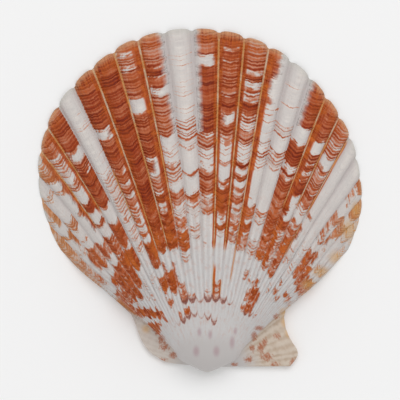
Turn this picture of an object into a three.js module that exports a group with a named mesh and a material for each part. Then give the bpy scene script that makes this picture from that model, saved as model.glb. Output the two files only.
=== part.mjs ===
// A scallop shell: one valve lying hollow side down on its rim and its two ears.
// Millimetres, +Z up. The beak points to -Y and the fan of ribs opens towards +Y.
// The shape follows the way a shell grows: every growth line is a smaller copy of the margin,
// turned upwards about the hinge line, so the whole wall is a spiral about the hinge.
import * as THREE from "three";

// Driving dimensions, in millimetres
const MARGIN_REACH = 53.9; // from the hinge to the far margin
const RIB_HEIGHT = 0.95; // crest over groove at the margin, on the middle ribs
const WALL = 1.35; // thickness of the dome and of its flanks
const RIM_WIDTH = 1.3; // flat edge that the shell rests on
const EAR_THICKNESS = 1.1;
const BEAK_LEAN = 0.9; // how far the beak leans to the left

// Shape of the margin: reach * cos(spread * angle) ^ roundness, either side of its far point
const MARGIN_PEAK = -6.7; // degrees clockwise from +Y, as are all the directions here
const MARGIN_LEFT = { spread: 1.7, roundness: 0.375 };
const MARGIN_RIGHT = { spread: 1.26, roundness: 0.6 };

// Fan of ribs: groove number n leaves the hinge at start + reach * sin(step * n)
const RIBS_A_SIDE = 13;
const FAN_START = 1.0;
const FAN_LEFT = { reach: 67.2, step: 0.07 };
const FAN_RIGHT = { reach: 54.6, step: 0.082 };

// Outlines of the ears, from where each leaves the disc to its corner on the hinge line
const LEFT_EAR = [
  [-13.0, 8.3],
  [-12.3, 6.6],
  [-11.8, 5.1],
  [-11.0, 3.5],
  [-9.9, 2.2],
  [-8.6, 1.4],
  [-7.4, 0.8],
];
const RIGHT_EAR = [
  [11.5, 9.1],
  [11.3, 7.8],
  [11.7, 5.8],
  [12.4, 4.3],
  [13.4, 2.7],
  [13.4, 1.6],
  [12.3, 0.1],
];

// Growth spiral
const COIL = 1.7; // how slowly the valve closes up: a larger value makes a flatter shell
const EAR_FLATNESS = 0.6; // height of the ears over the hinge plane, against the disc's
const EAR_ROOT = { left: 0.3, right: 1.5 }; // how far each ear's root climbs the flank, in millimetres
const SMALLEST_GROWTH = 0.03; // first growth line round the beak, as a share of the margin
const CAVITY_START = 0.16; // the hollow reaches this growth line; nearer the beak it is solid
const SMOOTH_UMBO = [0.1, 0.42]; // growth range in which the ribs rise out of the smooth umbo
const RIBBED_INSIDE = [0.62, 1.0]; // growth range in which the ribs rise on the inside
const SMOOTH_INSIDE = [3, 6.5]; // columns over which those ribs fade out towards the flanks
const INSIDE_RELIEF = 0.7; // height of the ribs on the inside, against the outside
const RIM_TAPER = [0.8, 1.0]; // growth range in which the wall thins to the rim

// Slow bends of the shape in plan: their middle, how far they spread and how far they move it
const BENDS = [
  { middle: [-21, 15.8], spread: [5, 5], move: [-0.35, -0.4] }, // fuller flanks, left and right
  { middle: [17, 14], spread: [5, 5], move: [0.35, -0.4] },
  { middle: [24, 24.6], spread: [5, 5], move: [0.5, 0.05] }, // fuller right side
  { middle: [18, 42], spread: [8, 8], move: [-0.25, -0.4] }, // flatter shoulders, right and left
  { middle: [-20.8, 46], spread: [7, 7], move: [0.2, -0.4] },
];
// Bends of the outside alone, which round the umbo to its left and right
const UMBO_BENDS = [
  { middle: [-4.9, 0.8], spread: [2.2, 1.8], move: [-1.1, 0] },
  { middle: [3.1, 0.8], spread: [2.2, 1.8], move: [1.1, 0] },
];

// Rib section: flat groove floor and rounded crest, by phase from groove to groove
const GROOVE_SHARE = 0.12;
const CREST_POWER = 2.6;
const NARROW_RIB_POWER = 0.7; // the narrower ribs of the sides are lower by this power of their width

// Facets
const RIB_PHASES = [0.06, 0.25, 0.5, 0.75, 0.94];
const FLANK_STEPS = 4; // columns down each steep flank, from the last rib to the ear
const GROWTH_ROWS = 15;
const ROW_CROWDING = 1.6; // crowds the rows towards the beak

// Steps for measuring directions on the surface and along the margin, in columns
const NEARBY = 0.01;
const CORNER_REACH = 0.6;

const EAR_BEGINS = RIBS_A_SIDE + 1; // column number where the flank meets the ear
const EAR_ENDS = RIBS_A_SIDE + 2; // column number of the hinge edge

const radians = THREE.MathUtils.degToRad;
const { smoothstep, lerp } = THREE.MathUtils;

// Direction of a place in the fan, counted in ribs from the middle groove
function fanAngle(column) {
  const side = column < 0 ? FAN_LEFT : FAN_RIGHT;
  return FAN_START + side.reach * Math.sin(side.step * column);
}

// Point of the rounded margin in that direction
function discMargin(column) {
  const angle = fanAngle(column);
  const turn = angle - MARGIN_PEAK;
  const side = turn < 0 ? MARGIN_LEFT : MARGIN_RIGHT;
  const reach = MARGIN_REACH * Math.cos(radians(side.spread * turn)) ** side.roundness;
  return new THREE.Vector2(Math.sin(radians(angle)), Math.cos(radians(angle))).multiplyScalar(reach);
}

// Where the flanks stand, as a distance from the hinge and an angle from the middle
const HINGE = new THREE.Vector2(0, 0);
const FLANK_REACH = discMargin(RIBS_A_SIDE).length();
const FLANK_ANGLE = radians(fanAngle(RIBS_A_SIDE));

const earEdge = (points) => new THREE.SplineCurve(points.map(([x, y]) => new THREE.Vector2(x, y)));
const leftEdge = earEdge(LEFT_EAR);
const rightEdge = earEdge(RIGHT_EAR);

// Margin point of any column: the disc, then a straight flank, then the edge of the ear
function marginPoint(column) {
  const side = Math.sign(column);
  const along = Math.abs(column);
  const ear = side < 0 ? leftEdge : rightEdge;
  if (along <= RIBS_A_SIDE) return discMargin(column);
  if (along >= EAR_BEGINS) return ear.getPoint(Math.min(along - EAR_BEGINS, 1));
  return discMargin(side * RIBS_A_SIDE).lerp(ear.getPoint(0), along - RIBS_A_SIDE);
}

// Outward direction of the margin in its own plane, evened out round its corners
function marginNormal(column) {
  const along = marginPoint(column + CORNER_REACH).sub(marginPoint(column - CORNER_REACH));
  return new THREE.Vector2(-along.y, along.x).normalize();
}

// 0 on the disc and 1 on the ears, and the slower change down the flank between them
const earShare = (column) => smoothstep(Math.abs(column), EAR_BEGINS - 0.3, EAR_BEGINS);
const flankShare = (column) => smoothstep(Math.abs(column), RIBS_A_SIDE, EAR_BEGINS);

// Rise of an ear towards the flank beside it, which softens the fold between them
function earRise(column, growth) {
  const climb = column < 0 ? EAR_ROOT.left : EAR_ROOT.right;
  const fromHinge = Math.min(1, EAR_ENDS - Math.abs(column));
  return climb * flankShare(column) * fromHinge ** 2 * 4 * growth * (1 - growth);
}

// A margin point shrunk to some size and turned up about the hinge as far as its growth line
function grown(margin, size, growth) {
  const turn = -Math.log(growth) / COIL;
  return new THREE.Vector3(
    size * margin.x - BEAK_LEAN * (1 - growth) ** 2,
    size * margin.y * Math.cos(turn),
    size * margin.y * Math.sin(turn),
  );
}

// Outside of the wall without its ribs
function smoothWall(column, growth) {
  const ear = earShare(column);
  const point = grown(marginPoint(column), growth, growth);
  const lift = EAR_THICKNESS * lerp((1 - growth) ** 3, 1, ear);
  return point.setZ(point.z * lerp(1, EAR_FLATNESS, ear) + lift + earRise(column, growth));
}

// Outward direction of the smooth wall
function wallNormal(column, growth) {
  const across = smoothWall(column + NEARBY, growth).sub(smoothWall(column - NEARBY, growth));
  const along = smoothWall(column, growth * (1 + NEARBY)).sub(smoothWall(column, growth * (1 - NEARBY)));
  return across.cross(along).normalize();
}

// Width of the ribs at a column, against the middle ones
function ribWidth(column) {
  const side = column < 0 ? FAN_LEFT : FAN_RIGHT;
  return (discMargin(column).length() / MARGIN_REACH) * Math.cos(side.step * column);
}

// Height of the ribs over their grooves: nothing on the flanks, the ears and the umbo
function ribRelief(column, growth) {
  if (Math.abs(column) > RIBS_A_SIDE) return 0;
  const phase = column - Math.floor(column);
  const offCrest = Math.abs(2 * phase - 1) / (1 - GROOVE_SHARE);
  const section = Math.max(0, 1 - offCrest ** CREST_POWER);
  const height = RIB_HEIGHT * ribWidth(column) ** NARROW_RIB_POWER;
  return height * growth * section * smoothstep(growth, ...SMOOTH_UMBO);
}

function outerPoint(column, growth) {
  const point = smoothWall(column, growth);
  return point.addScaledVector(wallNormal(column, growth), ribRelief(column, growth));
}

// The inside: the same growth lines, shrunk by the wall and drawn in from the flanks; flat under the ears
function innerPoint(column, growth) {
  const share = (growth - SMALLEST_GROWTH) / (1 - SMALLEST_GROWTH);
  const line = lerp(CAVITY_START, 1, share);
  const underEar = outerPoint(column, line).setZ(0);
  const rim = smoothstep(line, ...RIM_TAPER);
  const inset = (WALL * Math.hypot(1, COIL) * (1 - rim)) / MARGIN_REACH;
  const margin = marginPoint(column).addScaledVector(marginNormal(column), -RIM_WIDTH * rim);
  const flankInset = (WALL * (1 - rim)) / (line * FLANK_REACH);
  margin.rotateAround(HINGE, flankInset * (Math.atan2(margin.x, margin.y) / FLANK_ANGLE));
  const ceiling = grown(margin, line - inset, line);
  const ribbed = smoothstep(line, ...RIBBED_INSIDE) * (1 - smoothstep(Math.abs(column), ...SMOOTH_INSIDE));
  ceiling.addScaledVector(wallNormal(column, line), INSIDE_RELIEF * ribbed * ribRelief(column, line));
  return ceiling.lerp(underEar, earShare(column));
}

// A point moved by the bends, each of which fades smoothly round its middle
function bent(point, bends) {
  const { x, y } = point;
  bends.forEach(({ middle, spread, move }) => {
    const share = Math.exp(-(((x - middle[0]) / spread[0]) ** 2) - ((y - middle[1]) / spread[1]) ** 2);
    point.x += share * move[0];
    point.y += share * move[1];
  });
  return point;
}

// Columns from the left hinge edge over the whole fan to the right hinge edge
function columnList() {
  const ribs = [];
  for (let rib = -RIBS_A_SIDE; rib < RIBS_A_SIDE; rib += 1) {
    RIB_PHASES.forEach((phase) => ribs.push(rib + phase));
  }
  const side = [];
  for (let step = 0; step <= FLANK_STEPS; step += 1) side.push(RIBS_A_SIDE + step / FLANK_STEPS);
  const earSteps = LEFT_EAR.length - 1;
  for (let step = 1; step <= earSteps; step += 1) side.push(EAR_BEGINS + step / earSteps);
  return [...side.map((column) => -column).reverse(), ...ribs, ...side];
}

// Growth lines from the beak to the margin, closest together at both ends
function growthList() {
  const rows = [];
  for (let row = 0; row <= GROWTH_ROWS; row += 1) {
    const share = Math.sin((row / GROWTH_ROWS) * (Math.PI / 2)) ** ROW_CROWDING;
    rows.push(lerp(SMALLEST_GROWTH, 1, share));
  }
  return rows;
}

// One closed skin: outside, inside, and the edge that joins them along the margin and the hinge
function valveGeometry() {
  const columns = columnList();
  const rows = growthList();
  const beak = new THREE.Vector3(-BEAK_LEAN, 0, EAR_THICKNESS);
  const underBeak = new THREE.Vector3(-BEAK_LEAN, 0, 0);
  const allBends = [...BENDS, ...UMBO_BENDS];
  const outside = rows.map((growth) => columns.map((column) => bent(outerPoint(column, growth), allBends)));
  const inside = rows.map((growth) => columns.map((column) => bent(innerPoint(column, growth), BENDS)));

  const positions = [];
  const triangle = (a, b, c) => [a, b, c].forEach((point) => positions.push(point.x, point.y, point.z));
  const quad = (a, b, c, d) => {
    triangle(a, b, c);
    triangle(a, c, d);
  };
  const lastRow = rows.length - 1;
  const lastColumn = columns.length - 1;

  for (let j = 0; j < lastColumn; j += 1) {
    triangle(beak, outside[0][j + 1], outside[0][j]);
    triangle(underBeak, inside[0][j], inside[0][j + 1]);
    for (let i = 0; i < lastRow; i += 1) {
      quad(outside[i][j], outside[i][j + 1], outside[i + 1][j + 1], outside[i + 1][j]);
      quad(inside[i][j], inside[i + 1][j], inside[i + 1][j + 1], inside[i][j + 1]);
    }
    quad(outside[lastRow][j], outside[lastRow][j + 1], inside[lastRow][j + 1], inside[lastRow][j]);
  }
  for (let i = 0; i < lastRow; i += 1) {
    quad(inside[i][0], outside[i][0], outside[i + 1][0], inside[i + 1][0]);
    const end = lastColumn;
    quad(outside[i][end], inside[i][end], inside[i + 1][end], outside[i + 1][end]);
  }
  quad(underBeak, beak, outside[0][0], inside[0][0]);
  quad(beak, underBeak, inside[0][lastColumn], outside[0][lastColumn]);

  const geometry = new THREE.BufferGeometry();
  geometry.setAttribute("position", new THREE.Float32BufferAttribute(positions, 3));
  return geometry;
}

// The origin is the middle of the shell's footprint, on the plane that it rests on
function centred(geometry) {
  geometry.computeBoundingBox();
  const middle = geometry.boundingBox.getCenter(new THREE.Vector3());
  geometry.translate(-middle.x, -middle.y, -geometry.boundingBox.min.z);
  geometry.computeVertexNormals();
  return geometry;
}

const shellFinish = new THREE.MeshStandardMaterial({ color: 0xd2a48f, roughness: 0.45, metalness: 0 });
const valve = new THREE.Mesh(centred(valveGeometry()), shellFinish);
valve.name = "valve";

const scallopShell = new THREE.Group();
scallopShell.name = "scallop_shell";
scallopShell.add(valve);

export default scallopShell;
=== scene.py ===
# A calico scallop's valve lying hollow side down on a pale floor, seen straight from above.
# The shell's surface is grown by the same rule as its solid, at a finer grain, in the same frame.
import math
from types import SimpleNamespace

import bpy
import numpy as np
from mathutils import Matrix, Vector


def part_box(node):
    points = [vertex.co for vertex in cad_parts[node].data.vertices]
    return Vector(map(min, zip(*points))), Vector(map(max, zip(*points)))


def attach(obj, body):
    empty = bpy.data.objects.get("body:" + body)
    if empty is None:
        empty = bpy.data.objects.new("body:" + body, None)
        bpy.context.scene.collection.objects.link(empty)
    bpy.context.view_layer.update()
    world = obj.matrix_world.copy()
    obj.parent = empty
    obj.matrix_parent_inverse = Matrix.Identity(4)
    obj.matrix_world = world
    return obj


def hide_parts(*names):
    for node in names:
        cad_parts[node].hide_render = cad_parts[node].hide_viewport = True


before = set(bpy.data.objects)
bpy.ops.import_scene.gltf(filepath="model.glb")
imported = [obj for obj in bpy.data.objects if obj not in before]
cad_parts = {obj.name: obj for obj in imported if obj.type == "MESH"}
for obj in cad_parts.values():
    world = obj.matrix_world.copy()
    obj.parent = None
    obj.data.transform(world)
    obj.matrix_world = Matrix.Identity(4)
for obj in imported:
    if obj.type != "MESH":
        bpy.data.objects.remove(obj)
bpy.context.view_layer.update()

MM = 0.001  # the shape below is worked out in millimetres

# Driving dimensions, those of the solid; a column is a place across the ribs, 0 in the middle groove
MARGIN_REACH = 53.9  # from the beak to the farthest margin
WALL = 1.35
RIM_WIDTH = 1.3
EAR_THICKNESS = 1.1
BEAK_LEAN = 0.9  # to the left
MARGIN_PEAK = -6.7  # direction of the farthest margin, in degrees
MARGIN_LEFT = {"spread": 1.7, "roundness": 0.375}
MARGIN_RIGHT = {"spread": 1.26, "roundness": 0.6}
RIBS_A_SIDE = 13
FAN_START = 1.0
FAN_LEFT = {"reach": 67.2, "step": 0.07}
FAN_RIGHT = {"reach": 54.6, "step": 0.082}
LEFT_EAR = [(-13.0, 8.3), (-12.3, 6.6), (-11.8, 5.1), (-11.0, 3.5), (-9.9, 2.2), (-8.6, 1.4), (-7.4, 0.8)]
RIGHT_EAR = [(11.5, 9.1), (11.3, 7.8), (11.7, 5.8), (12.4, 4.3), (13.4, 2.7), (13.4, 1.6), (12.3, 0.1)]
COIL = 1.7  # growth against turn: the larger it is, the flatter the shell
EAR_FLATNESS = 0.6
EAR_ROOT_LEFT = 0.3
EAR_ROOT_RIGHT = 1.5
SMALLEST_GROWTH = 0.03  # of the first row of points
CAVITY_START = 0.16  # growth at which the hollow begins
RIBBED_INSIDE = (0.62, 1.0)  # growth over which the ribs come up on the inside
SMOOTH_INSIDE = (3.0, 6.5)  # columns over which they fade there
INSIDE_RELIEF = 0.7  # their height there, as a share
RIM_TAPER = (0.8, 1.0)  # growth over which the wall gives way to the rim
NEARBY = 0.01  # step over which a slope is taken
CORNER_REACH = 0.6  # columns over which the rim's direction is taken
EAR_CREASE = 0.3  # columns over which the flank turns into an ear
EAR_BEGINS = RIBS_A_SIDE + 1
EAR_ENDS = RIBS_A_SIDE + 2

# Slow bends of the shape in plan, those of the solid: middle, spread, and how far they move it
BENDS = [
    {"middle": (-21.0, 15.8), "spread": (5.0, 5.0), "move": (-0.35, -0.4)},
    {"middle": (17.0, 14.0), "spread": (5.0, 5.0), "move": (0.35, -0.4)},
    {"middle": (24.0, 24.6), "spread": (5.0, 5.0), "move": (0.5, 0.05)},
    {"middle": (18.0, 42.0), "spread": (8.0, 8.0), "move": (-0.25, -0.4)},
    {"middle": (-20.8, 46.0), "spread": (7.0, 7.0), "move": (0.2, -0.4)},
]
UMBO_BENDS = [
    {"middle": (-4.9, 0.8), "spread": (2.2, 1.8), "move": (-1.1, 0.0)},
    {"middle": (3.1, 0.8), "spread": (2.2, 1.8), "move": (1.1, 0.0)},
]

# Ribs, a little flatter on top and lower near the beak than those of the solid
RIB_HEIGHT = 0.85
SMOOTH_UMBO = (0.1, 0.52)
GROOVE_SHARE = 0.09
CREST_POWER = 3.8
NARROW_RIB_POWER = 0.9
FLAT_SIDES = (6.5, 11.5, 0.35)  # columns over which the ribs sink towards the sides, and how low they get

# Fine relief of the outside
EAR_RIBLETS = {"left": 4, "right": 7}
EAR_RIBLET_HEIGHT = {"left": 0.06, "right": 0.13}
GROWTH_SWELLS = 17  # soft swells along a rib
SWELL_HEIGHT = 0.035
YOUNG_FURROW = 0.13  # depth of the furrow along the middle of each young rib
YOUNG_RIBS = (0.2, 0.27, 0.42, 0.56)  # growth at which that furrow comes and goes
FURROW_WIDTH = 0.4  # as a share of half the rib
RIBLETS_GROW = (0.35, 0.8)  # growth over which the riblets of the ears come up
SWELLS_GROW = (0.3, 0.6)  # and the swells
SWELL_SHIFT = (2.4, 1.7)  # turn of the swells, and of their slow beat, from one rib to the next
SWELL_BEAT = 5.1
RIB_VARIETY = 0.14  # how much higher or lower one rib is than the next, as a share
RIB_RHYTHM = (2.1, 0.6)  # turn from rib to rib that sets this, and how it quickens

# Facets of the fine mesh
RIB_PHASES = (0.0, 0.05, 0.12, 0.22, 0.35, 0.5, 0.65, 0.78, 0.88, 0.95)
FLANK_STEPS = 8
EAR_STEPS = 20
INNER_ROWS = 44
ROWS_PER_INNER = 5  # outer rows to each inner row
ROW_CROWDING = 1.25
BEAK_FOOT_LEAN = 0.6  # lean of the point under the beak, which keeps facets of the hollow apart

# Flat map of the surface for baked pictures: millimetres of the outside, then shares of the picture
MAP_SCALE = 0.0132
MAP_CORNER = np.array([0.36, 0.03])
RIM_MAP_SCALE = 1.02
HINGE_MAP_DROP = np.array([0.0, 0.9])
INSIDE_MAP_SCALE = 0.36
INSIDE_MAP_PLACE = np.array([37.5, 0.0])

# Point from which the marks are measured, against the hinge
MARK_CENTRE = (0.32, -1.12)

# Orange marks on each rib: from and to in millimetres from the beak, how full, and for some the part
# of the rib's width, which is 0 at its left groove and 1 at its right one
BEYOND = 60.0  # past the margin
MARKS = {
    -13: [(10.5, 13.5, 1.0), (14.5, 20.6, 0.85), (22.2, BEYOND, 0.65)],
    -12: [
        (10.8, 13.2, 1.05), (14.2, 16.4, 1.1), (17.0, 20.5, 0.85), (20.5, 22.6, 0.85, 0.4, 2),
        (24.1, 27.8, 0.9, 0.55, 2), (27.8, 29.4, 0.5), (29.4, 32.6, 0.85, 0.7, 2), (31.3, 32.6, 0.7),
        (34.0, BEYOND, 0.8, 0.6, 2), (34.3, 36.4, 0.55),
    ],
    -11: [
        (11.2, 12.8, 0.9), (13.6, 15.6, 1.1), (15.7, 17.2, 0.7, -1, 0.35), (17.2, 22.8, 0.95),
        (24.2, 28.5, 0.95, -1, 0.45), (24.4, 28.0, 0.75), (29.3, 30.3, 0.55), (31.8, 33.8, 0.65),
        (37.8, 39.2, 0.55),
    ],
    -10: [
        (11.4, 12.2, 0.8), (13.0, 14.8, 1.1), (16.5, 23.7, 0.95), (24.4, 28.0, 0.95, -1, 0.4),
        (25.2, 27.6, 0.75), (29.5, 44.0, 0.9, 0.8, 2), (32.7, 34.2, 0.7, 0.4, 2), (37.0, 38.4, 0.55),
        (39.7, 42.6, 0.75), (42.0, BEYOND, 0.5),
    ],
    -9: [
        (12.2, 14.0, 1.1), (15.8, 18.0, 0.5, 0.2, 0.9), (18.0, 24.4, 0.95), (24.4, 27.4, 0.8),
        (24.4, 28.0, 1.0, -1, 0.4), (29.3, 30.5, 0.88), (32.0, 34.2, 0.95), (34.2, 36.3, 0.35),
        (36.3, 38.2, 0.7), (38.9, 42.8, 0.6), (42.8, BEYOND, 0.9),
    ],
    -8: [
        (11.5, 13.3, 0.95, -1, 0.55), (15.2, 19.2, 0.5, -1, 0.45), (20.6, 24.4, 1.0),
        (24.4, 25.0, 0.75), (25.0, 29.0, 1.0), (31.8, 38.2, 1.0), (38.2, 40.6, 0.85),
        (40.6, 41.8, 0.9, -1, 0.2), (41.8, BEYOND, 0.92),
    ],
    -7: [
        (16.0, 20.0, 0.4), (22.0, 29.0, 0.48, 0.3, 2), (29.0, 36.0, 0.6, 0.3, 2), (36.0, 40.0, 0.2),
        (42.8, 47.0, 0.2),
    ],
    -6: [
        (12.7, 14.4, 0.78), (15.2, 17.9, 0.92), (19.2, 23.7, 1.0), (24.5, 25.3, 0.9),
        (25.3, 27.0, 0.55), (27.0, 27.7, 0.95), (27.7, 29.5, 0.65), (29.5, 31.3, 0.87),
        (31.3, 33.5, 0.77), (33.5, 35.5, 0.87), (35.5, 41.3, 0.97), (41.3, 42.7, 0.95, 0.65, 2),
        (42.7, BEYOND, 0.95),
    ],
    -5: [
        (9.8, 11.8, 0.8, -1, 0.5), (14.4, 18.2, 0.95), (18.0, 19.7, 0.9, -1, 0.3), (21.1, 24.3, 0.92),
        (24.3, BEYOND, 1.0),
    ],
    -4: [
        (10.0, 11.7, 0.82), (12.4, 14.6, 0.88), (14.4, 15.7, 0.75), (15.0, 19.2, 0.9, -1, 0.25),
        (20.7, 27.2, 1.0), (27.2, 28.2, 0.85), (28.2, 30.0, 1.0), (30.0, 33.2, 0.74),
        (33.2, 35.6, 0.92, -1, 0.5), (35.6, 43.2, 0.93), (45.3, 50.5, 0.87), (50.5, 52.8, 0.8),
        (52.8, BEYOND, 0.9),
    ],
    -3: [
        (12.3, 13.8, 0.6), (18.3, 19.9, 0.55), (20.1, 23.6, 0.88), (23.6, 25.7, 0.72),
        (25.7, 27.5, 0.5), (27.5, 30.0, 0.82), (31.0, 34.2, 0.62), (34.2, 37.0, 0.35),
        (38.4, 45.5, 0.82, -1, 0.82), (46.3, 48.3, 0.9, -1, 0.8), (48.3, 50.0, 1.0, -1, 0.8),
        (50.0, BEYOND, 0.85, -1, 0.82),
    ],
    -2: [
        (21.7, 24.2, 0.55), (25.3, 27.5, 0.55), (27.5, 29.0, 0.8), (31.4, 32.4, 0.64),
        (35.9, 36.6, 0.62), (36.6, 41.0, 0.5), (41.0, 55.0, 0.14),
    ],
    -1: [
        (12.0, 13.8, 0.5), (20.4, 21.2, 0.42), (25.3, 28.5, 0.7), (28.5, 32.6, 0.84), (32.6, 35.5, 0.4),
        (35.5, 38.0, 0.77), (38.0, 49.3, 1.0, 0.22, 2), (49.3, 50.6, 0.9, 0.8, 2),
        (50.6, BEYOND, 0.9, 0.2, 2),
    ],
    0: [
        (11.9, 15.2, 0.7), (22.0, 22.9, 0.55), (22.9, 24.0, 0.95), (24.6, 25.6, 0.58),
        (25.6, 29.8, 1.0), (30.2, 31.0, 1.0), (33.0, 34.0, 0.52), (34.0, 37.3, 0.32),
        (37.3, 38.2, 0.85), (38.2, 40.0, 0.95), (40.0, 41.5, 0.95, -1, 0.3), (41.5, 44.5, 0.98),
        (44.5, 50.0, 0.87), (50.0, 52.0, 0.92), (52.0, BEYOND, 1.0),
    ],
    1: [
        (21.0, 23.0, 0.85), (23.0, 24.3, 0.92), (24.3, 26.0, 0.8), (26.0, 26.8, 0.95),
        (26.8, 29.0, 0.8), (29.0, 30.1, 0.95), (30.9, 31.9, 0.97), (32.7, 34.0, 0.97),
        (34.0, 36.7, 0.32), (36.7, 39.2, 0.82), (39.2, 40.2, 0.42), (40.2, 41.2, 0.77),
        (41.2, 43.8, 1.0), (43.8, 45.0, 0.77), (45.0, 46.0, 0.92), (46.0, 46.8, 0.62),
        (46.8, 48.3, 0.96), (48.3, BEYOND, 0.82),
    ],
    2: [
        (19.9, 23.0, 0.77), (23.0, 24.8, 1.0), (24.8, 27.7, 0.77), (28.0, 30.0, 0.32),
        (33.0, 34.5, 0.37), (34.5, 36.5, 0.6), (37.0, 38.2, 0.57), (38.2, 43.5, 0.37),
        (43.6, 45.3, 0.9, -1, 0.5), (45.5, 48.0, 0.85, -1, 0.35), (48.0, BEYOND, 0.9, -1, 0.55),
    ],
    3: [
        (15.9, 17.7, 0.62, 0.4, 2), (19.3, 22.5, 0.57), (24.5, 27.0, 0.54), (33.7, 36.0, 0.6),
        (36.0, 36.8, 0.74), (39.0, 41.2, 0.56), (41.2, 50.0, 0.16),
    ],
    4: [
        (10.9, 12.2, 0.87, 0.3, 2), (12.5, 15.0, 0.77, 0.35, 2), (15.0, 16.5, 0.6), (19.2, 33.3, 0.87),
        (33.3, 34.3, 0.97), (34.3, 35.0, 0.5), (35.0, 39.0, 0.97), (41.5, BEYOND, 0.95, 0.2, 2),
    ],
    5: [
        (10.7, 12.6, 0.95), (12.6, 15.4, 1.0), (15.4, 16.9, 0.9, 0.1, 0.45), (18.4, 24.5, 0.64),
        (18.4, 30.0, 0.95, -1, 0.25), (24.5, 27.0, 0.9), (28.0, 30.7, 0.27), (31.0, 33.8, 0.97),
        (33.8, 34.8, 1.0), (35.2, 36.5, 0.97), (36.5, 38.4, 0.87), (40.4, BEYOND, 0.95),
    ],
    6: [
        (10.8, 14.8, 0.9, -1, 0.5), (10.9, 11.8, 0.7), (17.7, 26.6, 0.84), (26.6, 27.6, 0.87),
        (28.8, 30.0, 0.52), (30.0, 32.5, 0.88), (32.5, 36.0, 0.75), (36.0, 37.0, 0.9),
        (38.7, 41.0, 0.72), (41.0, BEYOND, 0.8),
    ],
    7: [
        (10.9, 11.6, 0.6), (15.0, 17.0, 0.52, -1, 0.5), (20.4, 24.0, 0.52, 0.1, 0.7),
        (24.5, 27.3, 0.85, -1, 0.2), (28.5, 29.7, 0.82, 0.05, 0.5), (30.0, 37.0, 0.15),
    ],
    8: [(15.8, 16.7, 0.95), (17.5, 18.3, 0.67), (20.0, 25.0, 0.44)],
    9: [
        (14.8, 16.0, 0.67), (19.8, 25.0, 0.88), (26.5, 27.2, 0.82), (27.2, 30.0, 0.62, -1, 0.6),
        (30.0, 32.2, 0.77), (34.0, 36.8, 0.52, -1, 0.5), (36.8, BEYOND, 0.8),
    ],
    10: [
        (16.2, 17.3, 0.87), (18.9, 23.0, 0.9), (23.0, 25.2, 0.85, -1, 0.35),
        (26.0, 26.8, 0.77, 0.3, 0.7), (26.5, 28.5, 0.85, -1, 0.2), (28.5, 31.7, 0.7),
        (32.5, BEYOND, 0.72),
    ],
    11: [(15.7, 17.3, 0.67), (18.2, 21.6, 0.88), (22.4, 24.3, 0.52), (29.0, BEYOND, 0.5)],
    12: [
        (13.0, 14.4, 0.5), (15.6, 17.0, 0.62), (18.0, 21.5, 0.8), (22.4, 24.6, 0.55),
        (26.0, BEYOND, 0.4),
    ],
}
MARK_EDGE = 0.45  # softness of the ends of a mark, in millimetres
MARK_RAGGED = 0.22  # how unevenly a mark ends across its rib
MARK_SIDE = 0.1  # softness of its sides, as a share of the rib's width
MARK_RAGGED_SIDE = 0.03  # how unevenly they run
RAGGED_ENDS = {"start": (40.0, 0.0), "end": (53.0, 1.3)}  # waves: turn across a rib, and shift
RAGGED_SIDES = [(2.3, 1.7), (5.1, 2.9)]  # waves: turn to a millimetre, and shift from rib to rib
WHOLE_WIDTH = (-1.0, 2.0)  # of a rib, and past both its grooves
WIDTH_RISE = 5.0  # how soon a mark has its full width

# Golden lines in the grooves: from and to in millimetres from the beak, and the width of the orange
# stripes to their left and right, as a share of the rib's
GOLD_LINES = {
    -9: [(30.5, 45.5, 0.2, 0.0)],
    -8: [(31.5, 48.0, 0.22, 0.1)],
    -6: [(28.0, 36.0, 0.0, 0.12)],
    -5: [(22.0, 53.0, 0.16, 0.16)],
    -4: [(22.0, 54.0, 0.12, 0.0)],
    -3: [(26.0, 54.5, 0.25, 0.06)],
    0: [(20.2, 54.0, 0.14, 0.16), (12.4, 17.6, 0.0, 0.22)],
    1: [(20.0, 53.5, 0.12, 0.2), (12.4, 15.0, 0.16, 0.0)],
    2: [(22.0, 52.5, 0.05, 0.28), (15.5, 22.0, 0.12, 0.1)],
    5: [(29.0, 47.0, 0.08, 0.25)],
    6: [(30.0, 45.0, 0.06, 0.1)],
    7: [(29.5, 42.6, 0.08, 0.1), (22.0, 27.3, 0.08, 0.08)],
}
LINE_EDGE = 1.0

# Spots near the hinge and the right margin: x, y, half width and half height, in millimetres
BROWN_SPOTS = [
    (-9.0, 6.0, 0.9, 1.1), (-8.2, 4.4, 0.9, 1.2), (-7.7, 3.2, 1.2, 0.9), (-6.4, 1.9, 0.9, 0.9),
    (-8.2, 1.2, 1.3, 0.4), (7.3, 6.3, 1.2, 0.6), (6.5, 5.0, 0.7, 1.2), (7.6, 3.0, 0.8, 1.3),
    (8.2, 4.0, 0.8, 1.0), (8.6, 1.6, 1.4, 1.0), (9.9, 0.4, 1.2, 0.6), (12.8, 0.8, 0.8, 0.9),
    (10.0, 8.0, 0.8, 0.7), (3.4, 0.4, 0.9, 0.5), (10.2, 4.9, 0.9, 0.8), (5.6, 1.2, 1.0, 0.7),
    (6.2, 3.0, 0.6, 1.0),
]
YELLOW_SPOTS = [
    (11.2, 8.8, 0.8, 0.8), (11.4, 7.2, 0.7, 0.9), (-10.7, 6.1, 0.8, 0.8), (12.0, 5.4, 0.6, 0.8),
    (21.8, 21.9, 1.4, 2.0), (17.2, 15.2, 1.6, 1.0), (19.6, 17.4, 1.3, 1.2), (15.2, 13.2, 1.3, 1.0),
    (22.8, 25.2, 0.9, 1.4),
]
PINK_SPOTS = [
    (-2.7, 2.7, 0.6, 1.0), (0.5, 2.7, 0.6, 1.0), (3.0, 4.1, 0.5, 1.2), (-0.5, 5.4, 0.4, 0.8),
    (-2.2, 5.8, 0.4, 0.8), (3.5, 5.9, 0.35, 0.7),
]
SCAR = [(4.0, 24.0, 9.5, 7.5)]  # of the closing muscle, on the inside
SPOT_EDGE = (0.2, 1.3)  # where a spot begins to fade and where it ends, against its half width
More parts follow.
